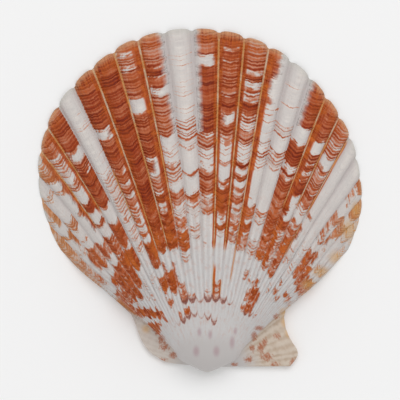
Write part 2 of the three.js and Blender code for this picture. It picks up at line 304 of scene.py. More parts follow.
MARKS_SHINE = (0.6, 0.95)  # growth over which the marks begin to show on the inside

# Chevron lines in the marks, in millimetres, and how much flatter they are over the outer zone
CHEVRON_STEP = 0.55
CHEVRON_SLOPE = 0.034
CHEVRON_DEEPEST = 1.15
CHEVRON_ROUNDING = 0.06
CHEVRON_MIDDLE = 0.4  # where on a rib a mark is as far from the beak as its numbers say
FLATTER_MARKS = 0.45
FLATTER_ZONE = (36.0, 49.0)

# Small brown lobes that point to the beak, in two rings round the umbo: for each rib, the place
# of a lobe's tip and its height in millimetres, and how dark it is
LOBES = {
    -7: [(9.8, 0.8, 0.4)],
    -6: [(9.6, 0.9, 0.5)],
    -5: [(9.5, 1.5, 0.95)],
    -4: [(12.2, 1.6, 1.0), (9.8, 1.3, 0.9)],
    -3: [(12.0, 1.5, 0.9), (9.75, 0.9, 0.8)],
    -2: [(11.7, 1.0, 0.65), (9.2, 0.7, 0.5)],
    -1: [(11.6, 1.6, 1.0), (8.85, 1.0, 0.8)],
    0: [(11.6, 1.3, 0.95), (7.9, 1.6, 0.75)],
    1: [(11.4, 1.5, 0.9)],
    2: [(11.3, 0.8, 0.65)],
    5: [(10.5, 1.0, 0.9)],
    6: [(10.6, 0.9, 0.8)],
    7: [(10.8, 0.7, 0.5)],
}
LOBE_RISE = 0.8  # how much further from the beak a lobe ends in the grooves than on the crest
LOBE_CURVE = 2.5
LOBE_EDGE = 0.15


def mix(first, second, share):
    return first + (second - first) * share


def smoothstep(value, low, high):
    share = np.clip((value - low) / (high - low), 0.0, 1.0)
    return share * share * (3.0 - 2.0 * share)


def soft_start(value, start, edge):
    return smoothstep(value, start - edge, start + edge)


# Shape of the shell

def fan_angle(column):
    left = FAN_LEFT["reach"] * np.sin(FAN_LEFT["step"] * column)
    right = FAN_RIGHT["reach"] * np.sin(FAN_RIGHT["step"] * column)
    return FAN_START + np.where(column < 0, left, right)


def disc_margin(column):
    angle = fan_angle(np.clip(column, -RIBS_A_SIDE, RIBS_A_SIDE))
    turn = np.radians(angle - MARGIN_PEAK)
    left = np.cos(MARGIN_LEFT["spread"] * np.minimum(turn, 0)) ** MARGIN_LEFT["roundness"]
    right = np.cos(MARGIN_RIGHT["spread"] * np.maximum(turn, 0)) ** MARGIN_RIGHT["roundness"]
    reach = MARGIN_REACH * np.where(turn < 0, left, right)
    direction = np.stack([np.sin(np.radians(angle)), np.cos(np.radians(angle))], -1)
    return reach[..., None] * direction


def smooth_curve(points, share):
    points = np.array(points)
    last = len(points) - 1
    place = np.clip(share, 0.0, 1.0) * last
    start = np.minimum(place.astype(int), last - 1)
    t = (place - start)[..., None]
    before, here, there, after = (points[np.clip(start + step, 0, last)] for step in (-1, 0, 1, 2))
    leaving = (there - before) / 2
    arriving = (after - here) / 2
    cubic = (2 * here - 2 * there + leaving + arriving) * t**3
    square = (-3 * here + 3 * there - 2 * leaving - arriving) * t**2
    return cubic + square + leaving * t + here


def margin_point(column):
    along = np.abs(column)
    left = column < 0
    along_ear = along - EAR_BEGINS
    ear = np.where(left[..., None], smooth_curve(LEFT_EAR, along_ear), smooth_curve(RIGHT_EAR, along_ear))
    flank_share = np.clip(along - RIBS_A_SIDE, 0.0, 1.0)[..., None]
    return np.where((along >= EAR_BEGINS)[..., None], ear, mix(disc_margin(column), ear, flank_share))


def margin_normal(column):
    along = margin_point(column + CORNER_REACH) - margin_point(column - CORNER_REACH)
    normal = np.stack([-along[..., 1], along[..., 0]], -1)
    return normal / np.linalg.norm(normal, axis=-1, keepdims=True)


def ear_share(column):
    return smoothstep(np.abs(column), EAR_BEGINS - EAR_CREASE, EAR_BEGINS)


def ear_rise(column, growth):
    climb = np.where(column < 0, EAR_ROOT_LEFT, EAR_ROOT_RIGHT)
    from_hinge = np.clip(EAR_ENDS - np.abs(column), 0.0, 1.0)
    flank = smoothstep(np.abs(column), RIBS_A_SIDE, EAR_BEGINS)
    return climb * flank * from_hinge**2 * 4 * growth * (1 - growth)


def grown(margin, size, growth):
    turn = -np.log(growth) / COIL
    x = size * margin[..., 0] - BEAK_LEAN * (1 - growth) ** 2
    y = size * margin[..., 1] * np.cos(turn)
    z = size * margin[..., 1] * np.sin(turn)
    return np.stack([x, y, z], -1)


def smooth_wall(column, growth):
    ear = ear_share(column)
    point = grown(margin_point(column), growth, growth)
    lift = EAR_THICKNESS * mix((1 - growth) ** 3, 1.0, ear)
    point[..., 2] = point[..., 2] * mix(1.0, EAR_FLATNESS, ear) + lift + ear_rise(column, growth)
    return point


def wall_normal(column, growth):
    across = smooth_wall(column + NEARBY, growth) - smooth_wall(column - NEARBY, growth)
    along = smooth_wall(column, growth * (1 + NEARBY)) - smooth_wall(column, growth * (1 - NEARBY))
    normal = np.cross(across, along)
    return normal / np.linalg.norm(normal, axis=-1, keepdims=True)


def off_crest(column):
    """0 on the crest of a rib, 1 in its grooves."""
    return np.abs(2 * (column - np.floor(column)) - 1)


def rib_relief(column, growth):
    section = np.maximum(0.0, 1 - (off_crest(column) / (1 - GROOVE_SHARE)) ** CREST_POWER)
    step = np.where(column < 0, FAN_LEFT["step"], FAN_RIGHT["step"])
    on_disc = np.clip(column, -RIBS_A_SIDE, RIBS_A_SIDE)
    width = np.linalg.norm(disc_margin(column), axis=-1) / MARGIN_REACH * np.cos(step * on_disc)
    height = RIB_HEIGHT * width**NARROW_RIB_POWER * growth * smoothstep(growth, *SMOOTH_UMBO)
    rib = np.floor(column)
    turn, quickening = RIB_RHYTHM
    height = height * (1 + RIB_VARIETY * np.sin(turn * rib + quickening * rib**2))
    begins, ends, lowest = FLAT_SIDES
    height = height * mix(1.0, lowest, smoothstep(np.abs(column), begins, ends))
    return np.where(np.abs(column) > RIBS_A_SIDE, 0.0, height * section)


def fine_relief(column, growth):
    """Riblets of the ears, soft swells along the ribs and the furrow along each young rib."""
    across_ear = np.clip(np.abs(column) - EAR_BEGINS, 0.0, 1.0)
    left = column < 0
    count = np.where(left, EAR_RIBLETS["left"], EAR_RIBLETS["right"])
    height = np.where(left, EAR_RIBLET_HEIGHT["left"], EAR_RIBLET_HEIGHT["right"])
    riblets = height * np.sin(math.pi * count * across_ear) ** 2 * smoothstep(growth, *RIBLETS_GROW)
    rib = np.floor(column)
    swell = np.sin(2 * math.pi * GROWTH_SWELLS * growth + SWELL_SHIFT[0] * rib)
    swell = swell * np.sin(SWELL_BEAT * growth + SWELL_SHIFT[1] * rib)
    on_disc = 1 - smoothstep(np.abs(column), RIBS_A_SIDE - 1, RIBS_A_SIDE)
    swells = SWELL_HEIGHT * swell * smoothstep(growth, *SWELLS_GROW)
    comes, full, fades, gone = YOUNG_RIBS
    young = smoothstep(growth, comes, full) * (1 - smoothstep(growth, fades, gone))
    furrow = YOUNG_FURROW * young * (1 - smoothstep(off_crest(column), 0.0, FURROW_WIDTH))
    return riblets * ear_share(column) + (swells - furrow) * on_disc


def bent(points, bends):
    moved = points.copy()
    for bend in bends:
        away = (points[..., :2] - bend["middle"]) / bend["spread"]
        share = np.exp(-(away**2).sum(-1))
        moved[..., :2] += share[..., None] * bend["move"]
    return moved


def outer_point(column, growth):
    relief = rib_relief(column, growth) + fine_relief(column, growth)
    point = smooth_wall(column, growth) + wall_normal(column, growth) * relief[..., None]
    return bent(point, BENDS + UMBO_BENDS)


def inner_point(column, growth):
    share = (growth - SMALLEST_GROWTH) / (1 - SMALLEST_GROWTH)
    line = mix(CAVITY_START, 1.0, share)
    under_ear = smooth_wall(column, line) + wall_normal(column, line) * rib_relief(column, line)[..., None]
    under_ear[..., 2] = 0.0
    rim = smoothstep(line, *RIM_TAPER)
    inset = WALL * math.hypot(1, COIL) * (1 - rim) / MARGIN_REACH
    margin = margin_point(column) - margin_normal(column) * (RIM_WIDTH * rim)[..., None]
    flank_margin = disc_margin(np.array(float(RIBS_A_SIDE)))
    flank_inset = WALL * (1 - rim) / (line * np.linalg.norm(flank_margin))
    flank_angle = np.radians(fan_angle(np.array(float(RIBS_A_SIDE))))
    turn = flank_inset * np.arctan2(margin[..., 0], margin[..., 1]) / flank_angle
    x = margin[..., 0] * np.cos(turn) - margin[..., 1] * np.sin(turn)
    y = margin[..., 0] * np.sin(turn) + margin[..., 1] * np.cos(turn)
    ceiling = grown(np.stack([x, y], -1), line - inset, line)
    ribbed = smoothstep(line, *RIBBED_INSIDE) * (1 - smoothstep(np.abs(column), *SMOOTH_INSIDE))
    relief = INSIDE_RELIEF * ribbed * rib_relief(column, line)
    ceiling = ceiling + wall_normal(column, line) * relief[..., None]
    return bent(mix(ceiling, under_ear, ear_share(column)[..., None]), BENDS)


# Marks, as values on the vertices

def rib_marks(column, reach):
    """How full the marks are, and how much of the rib's width they take."""
    fill = np.zeros_like(reach)
    width = np.zeros_like(reach)
    rib = np.clip(np.floor(column), -RIBS_A_SIDE, RIBS_A_SIDE - 1)
    flatter = 1 - FLATTER_MARKS * smoothstep(reach, *FLATTER_ZONE)
    rounded = np.sqrt(off_crest(column) ** 2 + CHEVRON_ROUNDING)
    depth = np.minimum(reach * CHEVRON_SLOPE, CHEVRON_DEEPEST) * flatter
    reach = reach - depth * (rounded - CHEVRON_MIDDLE)
    ragged = {}
    for name, (turn, shift) in RAGGED_ENDS.items():
        ragged[name] = MARK_RAGGED * np.sin(turn * column + shift)
    waves = sum(np.sin(turn * reach + shift * rib) for turn, shift in RAGGED_SIDES)
    phase = column - rib + MARK_RAGGED_SIDE * waves
    for number, marks in MARKS.items():
        for start, end, strength, *part in marks:
            begun = soft_start(reach + ragged["start"], start, MARK_EDGE)
            along = begun * (1 - soft_start(reach + ragged["end"], end, MARK_EDGE))
            low, high = part or WHOLE_WIDTH
            across = soft_start(phase, low, MARK_SIDE) * (1 - soft_start(phase, high, MARK_SIDE))
            here = (rib == number) & (across > 0)
            fill = np.where(here, np.maximum(fill, strength * along), fill)
            width = np.where(here, np.maximum(width, across * np.minimum(1.0, WIDTH_RISE * along)), width)
    return fill, width


def gold_marks(column, reach):
    """The golden lines in the grooves, and the orange stripes beside them."""
    gold = np.zeros_like(reach)
    stripe = np.zeros_like(reach)
    groove = np.round(column)
    offset = column - groove
    for number, lines in GOLD_LINES.items():
        for start, end, left, right in lines:
            along = soft_start(reach, start, LINE_EDGE) * (1 - soft_start(reach, end, LINE_EDGE))
            here = groove == number
            gold = np.where(here, np.maximum(gold, along), gold)
            beside = here & (offset >= -left) & (offset <= right) & (left + right > 0)
            stripe = np.where(beside, np.maximum(stripe, along), stripe)
    return gold, stripe


def lobe_marks(column, reach):
    marks = np.zeros_like(reach)
    rib = np.floor(column)
    for number, lobes in LOBES.items():
        for tip, height, strength in lobes:
            above = reach - tip - LOBE_RISE * off_crest(column) ** LOBE_CURVE
            fading = 1 - smoothstep(above, LOBE_EDGE * height, height)
            lobe = strength * soft_start(above, 0.0, LOBE_EDGE) * fading
            marks = np.where(rib == number, np.maximum(marks, lobe), marks)
    return marks


def spot_marks(points, spots):
    marks = np.zeros(points.shape[:2])
    for x, y, half_width, half_height in spots:
        distance = np.hypot((points[..., 0] - x) / half_width, (points[..., 1] - y) / half_height)
        marks = np.maximum(marks, 1 - smoothstep(distance, *SPOT_EDGE))
    return marks


# The mesh

def column_list():
    ribs = [rib + phase for rib in range(-RIBS_A_SIDE, RIBS_A_SIDE) for phase in RIB_PHASES]
    side = [RIBS_A_SIDE + step / FLANK_STEPS for step in range(FLANK_STEPS + 1)]
    side += [EAR_BEGINS + step / EAR_STEPS for step in range(1, EAR_STEPS + 1)]
    return np.array([-column for column in reversed(side)] + ribs[1:] + side)


def growth_list(rows):
    return mix(SMALLEST_GROWTH, 1.0, (np.arange(rows + 1) / rows) ** ROW_CROWDING)


def strip_faces(first, second):
    """Faces between two rows of points, or between two such grids."""
    corners = [first[..., :-1], first[..., 1:], second[..., 1:], second[..., :-1]]
    return np.stack(corners, -1).reshape(-1, 4)


def shell_faces(outer_grid, inner_grid, tip, under_tip):
    """The faces of both sides, of the rim and of the hinge edge."""
    skin = strip_faces(outer_grid[:-1], outer_grid[1:]).tolist()
    skin += strip_faces(inner_grid[:-1], inner_grid[1:])[:, ::-1].tolist()
    for j in range(outer_grid.shape[1] - 1):
        skin.append([tip, outer_grid[0, j + 1], outer_grid[0, j]])
        skin.append([under_tip, inner_grid[0, j], inner_grid[0, j + 1]])
    rim = strip_faces(outer_grid[-1], inner_grid[-1]).tolist()
    hinge = [[under_tip, tip, outer_grid[0, 0], inner_grid[0, 0]]]
    hinge += [[tip, under_tip, inner_grid[0, -1], outer_grid[0, -1]]]
    for i in range(INNER_ROWS):
        rows = slice(i * ROWS_PER_INNER, (i + 1) * ROWS_PER_INNER + 1)
        hinge.append([inner_grid[i, 0], *outer_grid[rows, 0], inner_grid[i + 1, 0]])
        hinge.append([inner_grid[i + 1, -1], *outer_grid[rows, -1][::-1], inner_grid[i, -1]])
    return skin, rim, hinge


def mark_sharp(mesh, ring):
    """Keep the shading apart on the two sides of a ring of vertices."""
    in_ring = np.zeros(len(mesh.vertices), bool)
    in_ring[ring] = True
    ends = np.zeros(len(mesh.edges) * 2, int)
    mesh.edges.foreach_get("vertices", ends)
    sharp = in_ring[ends.reshape(-1, 2)].all(1)
    for number in np.flatnonzero(sharp):
        mesh.edges[number].use_edge_sharp = True


def add_flat_map(mesh, outer_flat, inner_flat, skin, rim, hinge):
    """The outside as a fan, the rim and the hinge edge round it, and the inside as a smaller fan."""
    centre = (0.0, 0.0)
    inner_map = INSIDE_MAP_PLACE + inner_flat * INSIDE_MAP_SCALE
    maps = [
        (skin, [inner_map, [centre, INSIDE_MAP_PLACE]]),
        (rim, [inner_flat * RIM_MAP_SCALE, [centre, centre]]),
        (hinge, [inner_flat - HINGE_MAP_DROP, [centre, -HINGE_MAP_DROP]]),
    ]
    corners = []
    for faces, parts in maps:
        table = np.concatenate([outer_flat, *parts])
        corners += [table[vertex] for face in faces for vertex in face]
    flat = mesh.uv_layers.new(name="OFBake")
    flat.data.foreach_set("uv", (MAP_CORNER + np.array(corners) * MAP_SCALE).ravel())


def mark_reach(points):
    return np.hypot(points[..., 0] - MARK_CENTRE[0], points[..., 1] - MARK_CENTRE[1])


def add_marks(mesh, outer, inner):
    """Write what the material reads on each vertex: outside, inside, the beak and the point under it."""
    outside, outer_column, outer_growth = outer
    inside, inner_column, inner_growth = inner
    reach = mark_reach(outside)
    inner_reach = mark_reach(inside)
    fill, width = rib_marks(outer_column, reach)
    shown_through = rib_marks(inner_column, inner_reach)[0] * smoothstep(inner_growth, *MARKS_SHINE)
    gold, stripe = gold_marks(outer_column, reach)
    no_outside = np.zeros_like(reach)
    no_inside = np.zeros_like(inner_reach)
    values = {
        "rib": (outer_column, inner_column),
        "growth": (outer_growth, inner_growth),
        "reach": (reach, inner_reach),
        "fill": (fill, shown_through),
        "width": (width, no_inside),
        "gold": (gold, no_inside),
        "stripe": (stripe, no_inside),
        "lobe": (lobe_marks(outer_column, reach), no_inside),
        "brown": (spot_marks(outside, BROWN_SPOTS), no_inside),
        "yellow": (spot_marks(outside, YELLOW_SPOTS), no_inside),
        "pink": (spot_marks(outside, PINK_SPOTS), no_inside),
        "scar": (no_outside, spot_marks(inside, SCAR)),
        "inside": (no_outside, no_inside + 1.0),
    }
    for name, (on_outside, on_inside) in values.items():
        at_beak = [0.0, 1.0 if name == "inside" else 0.0]
        numbers = np.concatenate([on_outside.ravel(), on_inside.ravel(), at_beak])
        attribute = mesh.attributes.new(name, "FLOAT", "POINT")
        attribute.data.foreach_set("value", numbers.astype(np.float32))


def make_shell():
    columns = column_list()
    outer_column, outer_growth = np.meshgrid(columns, growth_list(INNER_ROWS * ROWS_PER_INNER))
    inner_column, inner_growth = np.meshgrid(columns, growth_list(INNER_ROWS))
    outside = outer_point(outer_column, outer_growth)
    inside = inner_point(inner_column, inner_growth)
    beak = np.array([[-BEAK_LEAN, 0.0, EAR_THICKNESS], [-BEAK_FOOT_LEAN, 0.0, 0.0]])
    points = np.concatenate([outside.reshape(-1, 3), inside.reshape(-1, 3), beak])
    outer_grid = np.arange(outer_column.size).reshape(outer_column.shape)
    inner_grid = outer_column.size + np.arange(inner_column.size).reshape(inner_column.shape)
    skin, rim, hinge = shell_faces(outer_grid, inner_grid, len(points) - 2, len(points) - 1)

    # Over the middle of the solid's footprint, and on the same plane
    low, high = (np.array(corner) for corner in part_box("valve"))
    middle = (points.min(0) + points.max(0)) / 2
    shift = np.array([*((low + high)[:2] / 2 - middle[:2] * MM), low[2] - points[:, 2].min() * MM])
    mesh = bpy.data.meshes.new("scallop_valve")
    mesh.from_pydata(points * MM + shift, [], [[int(v) for v in face] for face in skin + rim + hinge])
    mesh.shade_smooth()
    for grid in (outer_grid, inner_grid):
        mark_sharp(mesh, np.concatenate([grid[:, 0], grid[-1], grid[:, -1]]))

    outer_flat = (outer_growth[..., None] * margin_point(outer_column)).reshape(-1, 2)
    inner_flat = (inner_growth[..., None] * margin_point(inner_column)).reshape(-1, 2)
    add_flat_map(mesh, outer_flat, inner_flat, skin, rim, hinge)
    add_marks(mesh, (outside, outer_column, outer_growth), (inside, inner_column, inner_growth))
    shell = bpy.data.objects.new("scallop_valve", mesh)
    bpy.context.scene.collection.objects.link(shell)
    return shell


# Materials

def colour(red, green, blue):
    """A colour given as the eye sees it, 0 to 255, as light."""
    shares = [value / 255 for value in (red, green, blue)]
    light = [s / 12.92 if s <= 0.04045 else ((s + 0.055) / 1.055) ** 2.4 for s in shares]
    return (*light, 1.0)


WHITE = colour(203, 197, 193)
COOL_WHITE = colour(202, 200, 199)
WARM_WHITE = colour(209, 204, 200)
# Painted highlight on the fine ridges of young white ribs
RIDGE_HIGHLIGHT = colour(222, 220, 218)
# Painted highlight on the crests of old white ribs
CREST_HIGHLIGHT = colour(222, 215, 208)
# Lilac: stains along streaks, and painted shade on rib sides, between growth lines, in furrows and in
# grooves
LILAC = colour(187, 178, 176)
FAINT_PINK = colour(202, 178, 167)
PINK = colour(194, 142, 122)
PALE_ORANGE = colour(185, 104, 69)
ORANGE = colour(154, 58, 18)
DARK_ORANGE = colour(112, 28, 6)
BRIGHT_ORANGE = colour(197, 101, 36)
GOLD = colour(202, 147, 90)
CREAM = colour(206, 183, 156)
YELLOW = colour(210, 162, 98)
BROWN = colour(166, 92, 54)
LOBE = colour(134, 76, 64)
PALE_LOBE = colour(178, 122, 102)
SPOT_PINK = colour(172, 140, 146)
UMBO = colour(193, 188, 186)
BEAK = colour(184, 180, 158)
EAR = colour(202, 188, 173)
# Darker tan on the ears in mottled patches, and, as painted shade, in the grooves of the right ear's
# riblets
EAR_GROOVE = colour(184, 164, 145)
EDGE_GREY = colour(190, 189, 180)
EDGE_GOLD = colour(216, 182, 144)
SIDE_TAN = colour(202, 142, 88)
INSIDE_WHITE = colour(226, 221, 216)
INSIDE_EDGE = colour(206, 176, 158)
INSIDE_MARK = colour(184, 106, 78)
INSIDE_SCAR = colour(204, 194, 188)
FLOOR_WHITE = (0.9, 0.9, 0.9, 1.0)

# Orange from the thinnest mark to the fullest
PIGMENT = [(0.0, FAINT_PINK), (0.2, PINK), (0.4, PALE_ORANGE), (0.68, ORANGE), (1.0, DARK_ORANGE)]

BARE = 1.775  # what the values that make up a mark add up to where it is thinnest

# Zones of the outside, in millimetres from the beak: where they begin, and where they are full
YOUNG = (33.0, 22.0)
OLD = (30.0, 42.0)
COOL = (26.0, 16.0)
BLUSHED = (34.0, 24.0)
RIDGED = [(9.5, 13.0), (31.0, 22.0)]
GROOVED = (9.0, 24.0)
LINED = (22.0, 40.0)
ROUGH = (0.0, 20.0)
EAR_TAN = (5.5, 10.0)

# Zones by growth and by rib, in the same way
UMBO_GROWTH = (0.21, 0.15)
TIP_GROWTH = (0.06, 0.0)
LATE_GROWTH = (0.92, 0.985)
MARGIN_GROWTH = (0.99, 1.018)
INSIDE_MARGIN = (0.82, 1.0)
SIDE_GROWTH = (0.6, 0.95)
SIDE_RIBS = (8.0, 11.5)
LINED_RIBS = (10.5, 5.5)
FLANK_RIBS = (RIBS_A_SIDE, RIBS_A_SIDE + 0.2)
EAR_RIBS = (EAR_BEGINS - 0.25, EAR_BEGINS + 0.05)
GROOVE_WIDTH = (0.15, 0.02)
GOLD_WIDTH = (0.058, 0.015)

# Noise: its grain across a rib and along it, its layer, and how fine it gets
CLOUD = {"grain": (1.1, 0.28), "layer": 0.0, "detail": 3.0}
STREAK = {"grain": (16.0, 0.3), "layer": 5.0, "detail": 2.0}
MOTTLE = {"grain": (2.6, 0.85), "layer": 8.0, "detail": 3.0}
SPECK = {"grain": (2.8, 1.5), "layer": 1.0, "detail": 1.0}
LOBE_NOISE = {"grain": (3.1, 2.4), "layer": 2.0, "detail": 2.0}
EAR_NOISE = {"grain": (9.0, 1.2), "layer": 2.0, "detail": 3.0}
FLECK = {"grain": (9.0, 2.6), "layer": 6.0, "detail": 3.0, "roughness": 0.65}
FINE_LINE = {"grain": (11.0, 0.35), "layer": 9.0, "detail": 2.0}
GRAIN = {"grain": (16.0, 5.0), "layer": 4.0, "detail": 3.0}
WOBBLE = {"grain": (7.0, 1.8), "layer": 0.0, "detail": 2.0}

# Noise of the growth marks: its grain along a rib, and its step from one rib to the next
DRIFT = {"grain": (0.55, 13.7), "layer": 3.0, "detail": 2.0}
BROAD_MARK = {"grain": (1.3, 13.7), "layer": 0.0, "detail": 2.0}
THIN_MARK = {"grain": (0.42, 13.7), "layer": 7.0, "detail": 1.0}
WOBBLE_REACH = 0.5
DRIFT_TURN = 14.0
THIN_LINE = (0.024, 0.006)

# Relief and gloss in the shader
RELIEF_HEIGHT = 0.13  # millimetres
RELIEF_OUTSIDE = 0.9
RELIEF_INSIDE = 0.25
ROUGHNESS = (0.3, 0.55)
GLOSS = 0.16
FLOOR_ROUGHNESS = 0.9


class Nodes:
    """Short ways to add nodes to one material."""

    def __init__(self, name):
        self.material = bpy.data.materials.new(name)
        self.material.use_nodes = True
        self.tree = self.material.node_tree
        self.shader = self.tree.nodes["Principled BSDF"]

    def put(self, value, socket):
        if isinstance(value, bpy.types.NodeSocket):
            self.tree.links.new(value, socket)
        else:
            socket.default_value = value

    def math(self, operation, *values):
        node = self.tree.nodes.new("ShaderNodeMath")
        node.operation = operation
        for value, socket in zip(values, node.inputs):
            self.put(value, socket)
        return node.outputs[0]

    def times(self, first, *others):
        for other in others:
            first = self.math("MULTIPLY", first, other)
        return first

    def plus(self, base, value, share):
        """The base and a share of the value."""
        return self.math("MULTIPLY_ADD", value, share, base)

    def step(self, value, zero, one):
        """A smooth step between the value where it is 0 and the value where it is 1."""
        node = self.tree.nodes.new("ShaderNodeMapRange")
        node.interpolation_type = "SMOOTHSTEP"
        self.put(value, node.inputs["Value"])
        self.put(zero, node.inputs["From Min"])
        self.put(one, node.inputs["From Max"])
        return node.outputs["Result"]

    def blend(self, share, first, second):
        node = self.tree.nodes.new("ShaderNodeMix")
        node.data_type = "RGBA"
        self.put(share, node.inputs["Factor"])
        colours = [socket for socket in node.inputs if socket.type == "RGBA"]
        self.put(first, colours[0])
        self.put(second, colours[1])
        return next(socket for socket in node.outputs if socket.type == "RGBA")

    def blend_value(self, share, first, second):
        node = self.tree.nodes.new("ShaderNodeMix")
        self.put(share, node.inputs["Factor"])
        self.put(first, node.inputs["A"])
        self.put(second, node.inputs["B"])
        return node.outputs["Result"]

    def layers(self, ground, layers):
        """Colours laid over a ground one after the other: where, how strongly, and which."""
        for place, share, tint in layers:
            ground = self.blend(self.times(place, share), ground, tint)
        return ground

    def attribute(self, name):
        node = self.tree.nodes.new("ShaderNodeAttribute")
        node.attribute_name = name
        return node.outputs["Fac"]

    def noise(self, x, y, grain, layer, detail, roughness=0.5):
        place = self.tree.nodes.new("ShaderNodeCombineXYZ")
        for value, socket in zip((self.times(x, grain[0]), self.times(y, grain[1]), layer), place.inputs):
            self.put(value, socket)
        node = self.tree.nodes.new("ShaderNodeTexNoise")
        self.put(place.outputs[0], node.inputs["Vector"])
        node.inputs["Scale"].default_value = 1.0
        node.inputs["Detail"].default_value = detail
        node.inputs["Roughness"].default_value = roughness
        return node.outputs["Fac"]


def growth_marks(n, rib, reach, off_crest):
    """Growth marks, bent towards the beak on each crest: close ones, broad ones and a few thin ones."""
    number = n.math("FLOOR", rib)
    widest = n.math("MINIMUM", n.times(reach, CHEVRON_SLOPE), CHEVRON_DEEPEST)
    depth = n.times(widest, n.plus(-1.0, n.step(reach, *FLATTER_ZONE), FLATTER_MARKS))
    rounded = n.math("SQRT", n.math("MULTIPLY_ADD", off_crest, off_crest, CHEVRON_ROUNDING))
    bent = n.plus(n.plus(reach, rounded, depth), n.noise(rib, reach, **WOBBLE), WOBBLE_REACH)
    turn = n.plus(n.times(bent, 2 * math.pi / CHEVRON_STEP), n.noise(bent, number, **DRIFT), DRIFT_TURN)
    ripple = n.plus(0.5, n.math("SINE", turn), 0.5)
    broad = n.step(n.noise(bent, number, **BROAD_MARK), 0.36, 0.64)
    off_line = n.math("ABSOLUTE", n.math("SUBTRACT", n.noise(bent, number, **THIN_MARK), 0.5))
    return ripple, broad, n.step(off_line, *THIN_LINE)


def surface_values(n):
    """What the colours and the relief of the shell are made from."""
    rib = n.attribute("rib")
    reach = n.attribute("reach")
    off_middle = n.math("ABSOLUTE", rib)
    on_rib = n.math("ABSOLUTE", n.plus(-1.0, n.math("FRACT", rib), 2.0))
    off_crest = n.blend_value(n.step(off_middle, *FLANK_RIBS), on_rib, 0.5)
    off_groove = n.plus(0.5, off_crest, -0.5)
    ripple, broad, thin = growth_marks(n, rib, reach, off_crest)
    return SimpleNamespace(
        rib=rib,
        reach=reach,
        growth=n.attribute("growth"),
        fill=n.attribute("fill"),
        stripe=n.attribute("stripe"),
        off_middle=off_middle,
        off_crest=off_crest,
        off_groove=off_groove,
        groove=n.step(off_groove, *GROOVE_WIDTH),
        young=n.step(reach, *YOUNG),
        ripple=ripple,
        broad=broad,
        thin=thin,
        cloud=n.noise(rib, reach, **CLOUD),
        streak=n.noise(rib, reach, **STREAK),
        mottle=n.noise(rib, reach, **MOTTLE),
        flecks=n.noise(rib, reach, **FLECK),
        grain=n.noise(rib, reach, **GRAIN),
    )


def white_ground(n, s):
    """White, cooler near the beak, with pink and lilac stains and a pink blush; painted highlights on old
    crests and young ridges, and painted shade in lilac on rib sides, between growth lines, in furrows and
    in grooves.
    """
    old = n.step(s.reach, *OLD)
    growth_lines = n.times(s.ripple, n.step(s.cloud, 0.35, 0.65))
    # Painted highlight: paler white along the crests of old ribs
    crest = n.times(n.step(s.off_crest, 0.5, 0.0), s.broad, old)
    # Painted shade: lilac between the growth lines of old ribs
    shaded = n.times(n.math("SUBTRACT", 1.0, s.ripple), n.step(s.mottle, 0.35, 0.65), old)
    # Painted shade: lilac on the sides of old ribs
    shaded_rib_sides = n.times(n.step(s.off_crest, 0.35, 0.95), old)
    ridged = n.times(*(n.step(s.reach, *zone) for zone in RIDGED))
    # Painted highlight: paler white on two fine ridges along each young rib
    ridge = n.step(n.math("ABSOLUTE", n.math("SUBTRACT", s.off_crest, 0.5)), 0.3, 0.08)
    ridge = n.times(ridge, ridged, n.step(s.streak, 0.3, 0.6))
    # Painted shade: lilac in the furrow along the middle of each young rib
    furrow = n.times(n.step(s.off_crest, 0.3, 0.0), ridged)
    blush = n.times(n.step(s.mottle, 0.48, 0.72), n.step(s.reach, *BLUSHED))
    return n.layers(WHITE, [
        (n.step(s.cloud, 0.4, 0.7), 1.0, WARM_WHITE),
        (n.step(s.reach, *COOL), 1.0, COOL_WHITE),
        (growth_lines, 0.12, PINK),
        (n.step(s.streak, 0.45, 0.75), 0.35, LILAC),
        (crest, 0.7, CREST_HIGHLIGHT),
        (shaded, 0.35, LILAC),
        (shaded_rib_sides, 0.45, LILAC),
        (ridge, 0.4, RIDGE_HIGHLIGHT),
        (furrow, 0.25, LILAC),
        (blush, 0.3, PINK),
        # Painted shade: lilac in the grooves, stronger away from the beak
        (s.groove, n.plus(0.1, n.step(s.reach, *GROOVED), 0.5), LILAC),
    ])


def mark_amount(n, s):
    """How much orange there is: solid where a mark is full, chevron lines where it is thinner.

    The lines are sharp in the middle of the outer half. Towards the beak and the sides they melt
    into blotches.
    """
    sharp = n.times(n.step(s.reach, *LINED), n.step(s.off_middle, *LINED_RIBS))
    sharp = n.plus(n.times(s.cloud, 0.7), sharp, 0.6)
    contrast = n.math("MINIMUM", n.plus(1.5, s.fill, -1.2), 0.9)
    contrast = n.times(contrast, n.plus(0.45, s.broad, 0.8))
    waves = n.plus(0.3, n.math("SUBTRACT", s.ripple, 0.5), contrast)
    lines = n.blend_value(sharp, 0.3, waves)
    blotches = n.blend_value(sharp, n.plus(-0.66, s.mottle, 1.4), 0.0)
    amount = n.plus(n.math("ADD", lines, blotches), s.fill, 1.55)
    amount = n.plus(amount, s.broad, 0.34)
    amount = n.plus(amount, s.cloud, 0.6)
    amount = n.plus(amount, s.streak, 0.35)
    amount = n.plus(amount, n.times(s.groove, s.young), -0.35)
    amount = n.math("SUBTRACT", amount, BARE)

    # A few thin lines on the white, no gap in a full mark, and pale specks in a young one
    few = n.times(s.thin, n.step(s.fill, 0.02, 0.3), n.step(s.mottle, 0.4, 0.6))
    amount = n.math("MAXIMUM", amount, n.plus(-0.3, few, 0.65))
    amount = n.math("MAXIMUM", amount, n.plus(-0.72, s.fill, 1.1))
    speck = n.times(n.step(n.noise(s.rib, s.reach, **SPECK), 0.5, 0.8), s.young)
    amount = n.plus(amount, speck, -0.55)
    return n.blend_value(s.stripe, amount, n.plus(0.25, s.streak, 0.8))


